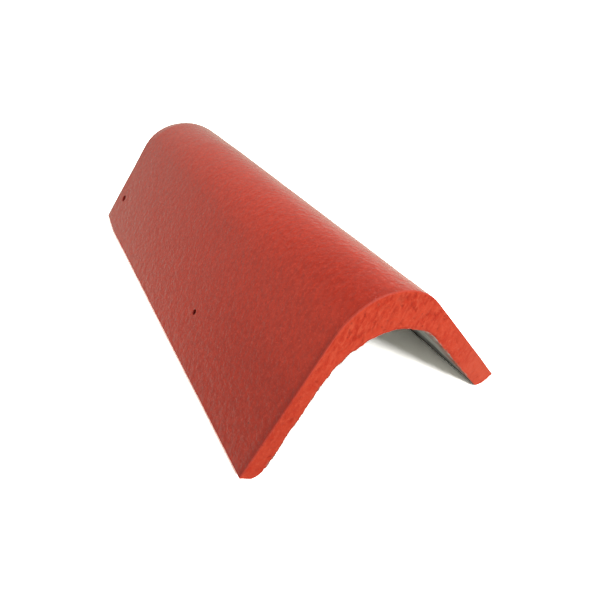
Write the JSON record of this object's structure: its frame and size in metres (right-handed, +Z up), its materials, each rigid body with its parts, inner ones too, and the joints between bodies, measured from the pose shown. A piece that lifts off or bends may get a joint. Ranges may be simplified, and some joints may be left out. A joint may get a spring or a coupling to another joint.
{
  "type": "verge tile",
  "caption": "Inverted-V concrete tile with a rounded crown that caps the edge of a pitched roof and is nailed through a leg.",
  "frame": {"origin": "on the plane that the tile stands on, at the middle of its length and width", "axes": "+Y along the tile from the tail (near end in the picture) to the head, +Z up out of the crown, +X across the tile from the nailed leg to the plain leg"},
  "size_m": [0.192, 0.4, 0.1013],
  "materials": {
    "coated_concrete": "cast concrete, red acrylic coating on the top and ends, bare grey underneath"
  },
  "bodies": {
    "root": {"verge_tile": "coated_concrete"}
  },
  "joints": []
}
